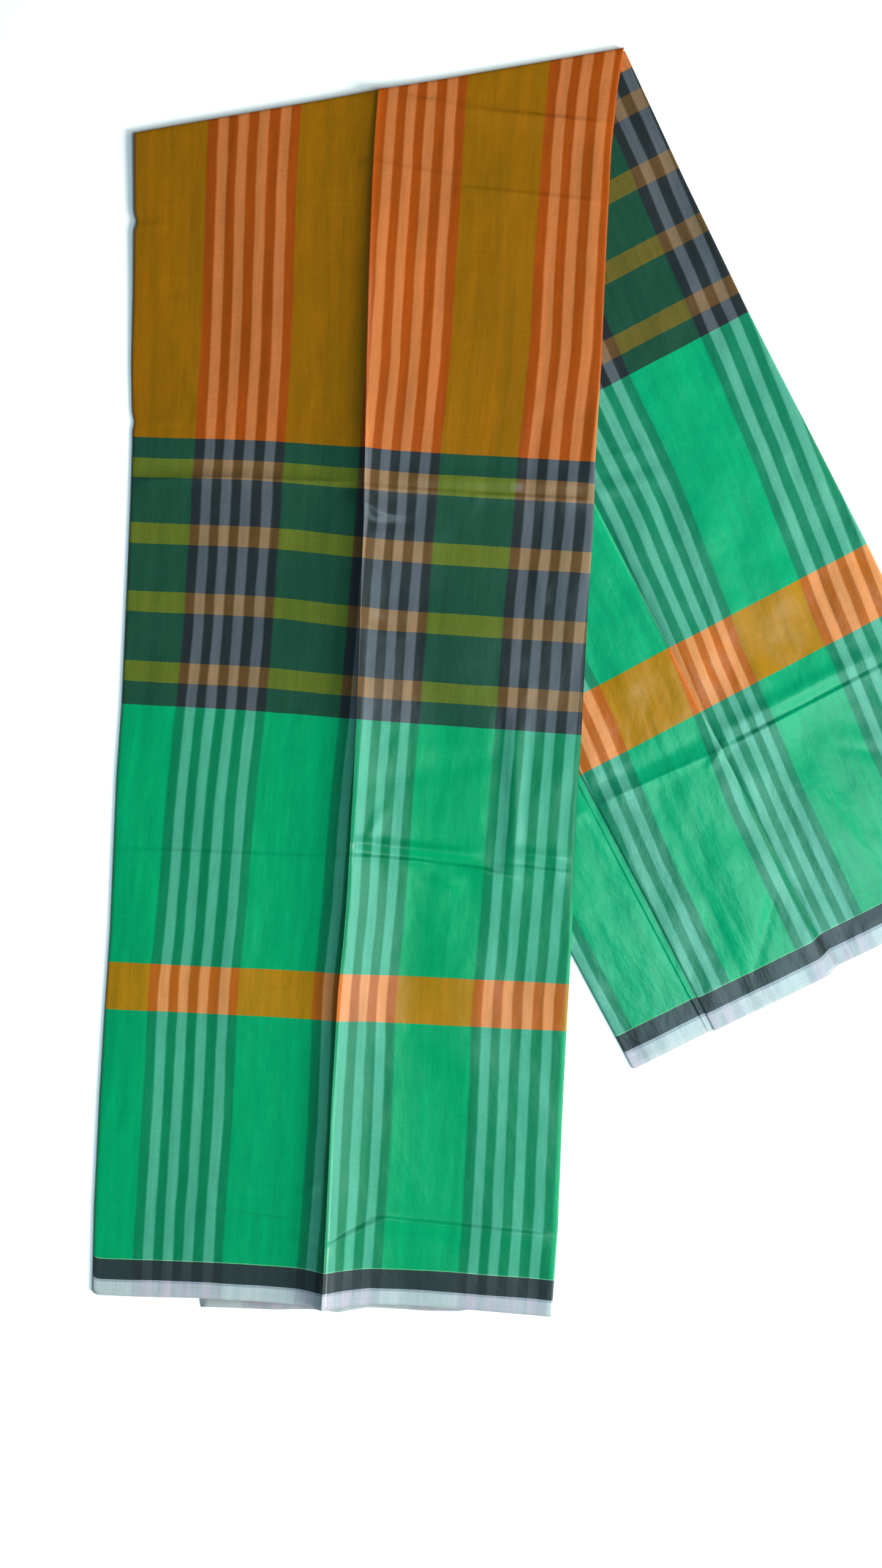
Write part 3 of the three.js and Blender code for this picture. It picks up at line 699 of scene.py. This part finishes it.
nearTop = {
    "wall": 0.8, "seed": 20, "leftWaves": 0.4, "rightWaves": 1.0, "flatEdge": 18,
    "notchLong": 6, "notchDeep": 40,
    "finest": 0.8, "widest": 5.2, "creasedRow": 1.5, "plainRow": 4.6,
    "creased": [
        {"from": 40, "to": 100}, {"from": 396, "to": 446}, {"from": 745, "to": 796},
        {"from": 1010, "to": 1130},
    ],
}


def placeNear(column, row):
    share = 1 - row["inset"] / near["length"]
    line = crossLine(near, share)
    width = (line["right"] - line["left"]).length
    fromLeft = fromLeftOf(column, width, creaseAt(near, share))
    across = fromLeft / width
    spot = line["left"].lerp(line["right"], across)
    fromCrest = fromLeft - width * creaseAt(near, share)
    level = nearBase(spot.x, spot.y, share) + levels["nearStack"]
    level += nearRidge(fromCrest, share) + crestLip(fromCrest, share) - crestGroove(fromCrest, share)
    flat = smooth(min(fromLeft, width - fromLeft, row["inset"]) / nearTop["flatEdge"])
    finer = mix(nearTop["leftWaves"], nearTop["rightWaves"], smooth(across))
    relief = smallCreases(nearCreases, spot.x, spot.y) + drape(spot.x, spot.y, nearTop["seed"], finer)
    level += settle(relief * flat)
    notch = sum(n["in"] * bell(spot.y - n["y"], nearTop["notchLong"]) for n in nearNotches)
    along = mix(line["fromHemLeft"], line["fromHemRight"], across) / patternStep
    return {
        "x": spot.x + notch * (1 - smooth(fromLeft / nearTop["notchDeep"])),
        "y": spot.y + hemShift(nearHemDip, fromLeft, share, near["length"]),
        "z": level - max(column["drop"] * levels["nearStack"], row["drop"] * level),
        "u": nearStripeAt(fromLeft, width, share),
        "v": along + weftBow(along, across),
    }


nearColumns = edgeColumns("left") + partColumns("leftPart", nearTop["finest"], nearTop["widest"])[::-1]
nearColumns += [crestColumn] + partColumns("rightPart", nearTop["finest"], nearTop["widest"])
nearColumns += edgeColumns("right")[::-1]
nearRows = hemRows(near["length"], nearTop["creased"], nearTop["creasedRow"], nearTop["plainRow"], True)
nearCloth = gridPiece("nearCloth", nearColumns, nearRows, placeNear)
nearCloth.data.materials.append(nearMaterial)
thicken(nearCloth, nearTop["wall"])
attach(nearCloth, "root")
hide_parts("near_length")
print("near length made")


flapLeft = 86  # the flap's edge, from the left edge of the far length
flatAt = 84  # the waves of both layers fade out towards this line


def farStripeAt(fromLeft, width, share):
    crest = width * creaseAt(far, share)
    if fromLeft <= crest:
        edge = lookUp(farStripes, share, "flapEdge")
        return mix(edge, lookUp(farStripes, share, "creaseLeft"), (fromLeft - flapLeft) / (crest - flapLeft))
    bend = width - lookUp(farStripes, share, "toMark") * patternStep
    if fromLeft < bend:
        return mix(lookUp(farStripes, share, "creaseRight"), farMark, (fromLeft - crest) / (bend - crest))
    return mix(farMark, lookUp(farStripes, share, "right"), (fromLeft - bend) / (width - bend))


def farWidth(share):
    line = crossLine(far, share)
    return (line["right"] - line["left"]).length


# The place of a point of the far length, and its distance from the hem in pattern steps.
def farSpot(fromLeft, share):
    line = crossLine(far, share)
    across = fromLeft / farWidth(share)
    spot = line["left"].lerp(line["right"], across)
    along = mix(line["fromHemLeft"], line["fromHemRight"], across) / patternStep
    along -= farBow["most"] * smooth(along / farBow["over"]) * (across - farBow["pivot"])
    return spot, along


flap = {
    "wall": 0.8, "seed": 40, "waves": 2.2, "flatEdge": 14, "leftPart": 122,
    "finest": 0.8, "widestLeft": 4.4, "widestRight": 4.8, "creasedRow": 1.5, "plainRow": 3.6,
}
# The flap's own edge is thin and rounded.
flapEdge = [
    {"inset": 0.0, "drop": 1.0}, {"inset": 0.15, "drop": 0.6}, {"inset": 0.6, "drop": 0.25},
    {"inset": 1.4, "drop": 0.06}, {"inset": 3.0, "drop": 0.0},
]


def placeFlap(column, row):
    share = 1 - row["inset"] / far["length"]
    width = farWidth(share)
    crest = width * creaseAt(far, share)
    top = levels["farFlap"]
    if column["side"] == "flap":
        fromLeft = mix(crest, flapLeft + column["inset"], column["share"])
        top -= column["drop"]
    else:
        fromLeft = fromLeftOf(column, width, creaseAt(far, share))
        top -= column["drop"] * levels["farFlap"]
    spot, along = farSpot(fromLeft, share)
    flat = smooth(min(fromLeft - flatAt, width - fromLeft) / flap["flatEdge"])
    relief = smallCreases(farCreases, spot.x, spot.y) + drape(spot.x, spot.y, flap["seed"], flap["waves"])
    return {
        "x": spot.x,
        "y": spot.y + hemShift(farHemDip, fromLeft, share, far["length"]),
        "z": top - farValley(fromLeft - crest) + settle(relief * flat),
        "u": farStripeAt(fromLeft, width, share),
        "v": along,
    }


flapColumns = [{"side": "flap", "share": 1, **edge} for edge in flapEdge]
for d in steps(flap["finest"], columnGrowth, flap["widestLeft"], flap["leftPart"])[:0:-1]:
    flapColumns.append({"side": "flap", "share": d / flap["leftPart"], "inset": edgeInset, "drop": 0})
flapColumns += [crestColumn] + partColumns("rightPart", flap["finest"], flap["widestRight"])
flapColumns += edgeColumns("right")[::-1]
farCreased = [{"from": 210, "to": 270}]
flapRows = hemRows(far["length"], farCreased, flap["creasedRow"], flap["plainRow"], False)
farFlap = gridPiece("farFlap", flapColumns, flapRows, placeFlap)
farFlap.data.materials.append(farMaterial)
thicken(farFlap, flap["wall"])
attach(farFlap, "root")
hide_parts("far_flap")
print("far flap made")


# The layer beside the flap, which sinks a little before the flap's edge.
leftLayer = {
    "wall": 0.8, "seed": 60, "waves": 2.4, "softer": 0.5, "flatEdge": 14, "stripesFrom": 116,
    "sink": 0.7, "sinkFrom": 40, "sinkOver": 30, "sinkEnd": 78.8, "sinkRise": 1.2,
    "creasedRow": 2.5, "plainRow": 6,
}


def placeLeft(column, row):
    share = 1 - row["inset"] / far["length"]
    fromLeft = column["inset"]
    spot, along = farSpot(fromLeft, share)
    waves = drape(spot.x, spot.y, leftLayer["seed"], leftLayer["waves"])
    relief = leftLayer["softer"] * (smallCreases(farCreases, spot.x, spot.y) + waves)
    flat = smooth(min(fromLeft, flatAt - fromLeft) / leftLayer["flatEdge"])
    beside = smooth((fromLeft - leftLayer["sinkFrom"]) / leftLayer["sinkOver"])
    beyond = smooth((fromLeft - leftLayer["sinkEnd"]) / leftLayer["sinkRise"])
    top = levels["farLeft"] + settle(relief * flat) - leftLayer["sink"] * (1 - beyond) * beside
    return {
        "x": spot.x,
        "y": spot.y + hemShift(farHemDip, fromLeft, share, far["length"]),
        "z": top - column["drop"] * levels["farLeft"],
        "u": leftLayer["stripesFrom"] + fromLeft / patternStep,
        "v": along,
    }


leftColumns = [dict(edge) for edge in foldProfile]
openPart = (8, 13, 18, 24, 30, 36, 42, 48, 54, 60, 66, 72, 76, 78)
besideFlap = (78.7, 79.3, 79.9, 80.5, 81.2, 82, 84, 88, 95, 103, 110)
leftColumns += [{"inset": inset, "drop": 0} for inset in openPart + besideFlap]
leftRows = hemRows(far["length"], farCreased, leftLayer["creasedRow"], leftLayer["plainRow"], False)
farLeft = gridPiece("farLeftLayer", leftColumns, leftRows, placeLeft)
farLeft.data.materials.append(farMaterial)
thicken(farLeft, leftLayer["wall"])
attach(farLeft, "root")
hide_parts("far_left_layer")
print("far left layer made")


# The hidden layers of the near length: they follow its crest, and the lowest one shows at the hem.
underInset = 2.6  # the hidden layers end this far inside the edges
nearHidden = {
    "wall": 0.75, "edgeDrop": 0.5, "lowest": 0.8, "stepBack": 1.5, "stripesFrom": 791, "weftFrom": 2,
    "columns": 60, "rows": 89, "dropWithin": 3,
}


def placeNearUnder(column, row):
    share = 1 - row["inset"] / near["length"]
    line = crossLine(near, share)
    width = (line["right"] - line["left"]).length
    fromLeft = mix(underInset, width - underInset, column["share"])
    spot = line["left"].lerp(line["right"], fromLeft / width)
    shift = hemShift(nearHemDip, fromLeft, share, near["length"])
    if row["lowest"]:
        shift -= lookUp(lowestShows, fromLeft, "down")
    if row["back"]:
        shift += nearHidden["stepBack"]
    ridge = nearRidge(fromLeft - width * creaseAt(near, share), share)
    atEdge = column["share"] in (0, 1) or row["inset"] < nearHidden["dropWithin"]
    layers = levels["nearHidden"] - (nearHidden["edgeDrop"] if atEdge else 0)
    if row["lowest"] or row["back"]:
        layers = nearHidden["lowest"]
    return {
        "x": spot.x,
        "y": spot.y + shift,
        "z": nearBase(spot.x, spot.y, share) + ridge + layers,
        "u": spot.x / patternStep + nearHidden["stripesFrom"],
        "v": nearHidden["weftFrom"] + row["along"],
    }


evenShares = [k / nearHidden["columns"] for k in range(nearHidden["columns"] + 1)]
moreShares = [0.2275, 0.2300, 0.4875, 0.5125]  # the step in the lowest hem, and both sides of the crest
underColumns = [{"share": s} for s in sorted(evenShares + moreShares)]
upperStart = 19  # the layer above the lowest one starts here in the pattern
underRows = [
    {"inset": near["length"], "lowest": True, "back": False, "along": 0},
    {"inset": near["length"], "lowest": False, "back": True, "along": 17},
    {"inset": near["length"] - 0.01, "lowest": False, "back": False, "along": upperStart},
]
for k in range(1, nearHidden["rows"] + 1):
    inset = mix(near["length"], underInset, k / nearHidden["rows"])
    along = (near["length"] - inset) / patternStep + upperStart
    underRows.append({"inset": inset, "lowest": False, "back": False, "along": along})
nearUnder = gridPiece("nearInnerLayers", underColumns, underRows, placeNearUnder)
nearUnder.data.materials.append(nearMaterial)
thicken(nearUnder, nearHidden["wall"])
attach(nearUnder, "root")
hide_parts("near_inner_layers")
print("near inner layers made")


# The hidden layers of the far length: one low under the left layer, and higher under the flap.
farHidden = {
    "wall": 0.8, "stepAt": 110.5, "stepOver": 2, "hemBack": 1.5, "hemRound": 30,
    "stripesFrom": 300, "weftFrom": 3, "columns": 70, "creasedRow": 5, "plainRow": 10,
}


def placeFarUnder(column, row):
    share = 1 - row["inset"] / far["length"]
    width = farWidth(share)
    fromLeft = mix(underInset, width - underInset, column["share"])
    spot, along = farSpot(fromLeft, share)
    step = smooth((fromLeft - farHidden["stepAt"]) / farHidden["stepOver"])
    valley = farValley(fromLeft - width * creaseAt(far, share))
    back = farHidden["hemBack"] * (1 - smooth(share * farHidden["hemRound"]))
    return {
        "x": spot.x,
        "y": spot.y + hemShift(farHemDip, fromLeft, share, far["length"]) + back,
        "z": mix(levels["farLow"], levels["farLeft"], step) - valley * step,
        "u": farHidden["stripesFrom"] + fromLeft / patternStep,
        "v": along + farHidden["weftFrom"],
    }


farUnderColumns = [{"share": k / farHidden["columns"]} for k in range(farHidden["columns"] + 1)]
farUnderRows = hemRows(far["length"], farCreased, farHidden["creasedRow"], farHidden["plainRow"], False)
farUnder = gridPiece("farInnerLayers", farUnderColumns, farUnderRows, placeFarUnder)
farUnder.data.materials.append(farMaterial)
thicken(farUnder, farHidden["wall"])
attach(farUnder, "root")
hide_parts("far_inner_layers")
print("far inner layers made")

# The floor.
bm = bmesh.new()
bmesh.ops.create_grid(bm, x_segments=1, y_segments=1, size=6)
floorMesh = bpy.data.meshes.new("floor")
bm.to_mesh(floorMesh)
bm.free()
floor = bpy.data.objects.new("floor", floorMesh)
bpy.context.scene.collection.objects.link(floor)
floorMaterial = bpy.data.materials.new("floorPaint")
floorMaterial.use_nodes = True
floorPaint = floorMaterial.node_tree.nodes["Principled BSDF"]
floorPaint.inputs["Base Color"].default_value = (0.97, 0.97, 0.97, 1)
floorPaint.inputs["Roughness"].default_value = 0.9
floorPaint.inputs["Specular IOR Level"].default_value = 0.1
floor.data.materials.append(floorMaterial)

# An even low light from the lower right, a warm one beside it that falls off to the left, a broad
# cool box for the satin gloss of the far stretch, and a pale sky.
sunData = bpy.data.lights.new("window", "SUN")
sunData.energy = 4.15
sunData.angle = 0.3
sunData.color = (1.0, 0.94, 0.88)
sideData = bpy.data.lights.new("side", "AREA")
sideData.size = 0.6
sideData.energy = 14
sideData.color = (1.0, 0.9, 0.74)
boxData = bpy.data.lights.new("gloss", "AREA")
boxData.shape = "RECTANGLE"
boxData.size = 0.9
boxData.size_y = 1.1
boxData.energy = 40
boxData.color = (0.66, 0.92, 1.0)
lamps = [
    {"data": sunData, "at": (2.0, -1.06, 1.1), "towards": (-0.794, 0.422, -0.438)},
    {"data": sideData, "at": (1.5, 0.7, 0.85), "towards": (-1.6, -0.45, -0.8)},
    {"data": boxData, "at": (0.85, -0.5, 1.9), "towards": (-0.5, 0.25, -1.9)},
]
for row in lamps:
    lamp = bpy.data.objects.new(row["data"].name, row["data"])
    lamp.location = row["at"]
    lamp.rotation_euler = Vector(row["towards"]).to_track_quat("-Z", "Y").to_euler()
    bpy.context.scene.collection.objects.link(lamp)
world = bpy.data.worlds.new("studio")
world.use_nodes = True
sky = world.node_tree.nodes["Background"]
sky.inputs["Color"].default_value = (0.65, 0.87, 1.0, 1)
sky.inputs["Strength"].default_value = 0.12
bpy.context.scene.world = world
bpy.context.scene.view_settings.view_transform = "Standard"

# The camera looks straight down on the photo's frame of 0.832 by 1.48 m.
lens = {"sensor": 36, "height": 1.75, "long": 1.48, "centre": (-0.1128, -0.0967)}
cameraData = bpy.data.cameras.new("camera")
cameraData.sensor_fit = "AUTO"
cameraData.sensor_width = lens["sensor"]
cameraData.lens = lens["sensor"] * lens["height"] / lens["long"]
camera = bpy.data.objects.new("camera", cameraData)
camera.location = (lens["centre"][0], lens["centre"][1], lens["height"])
bpy.context.scene.collection.objects.link(camera)
bpy.context.scene.camera = camera
print("floor, lights and camera set")
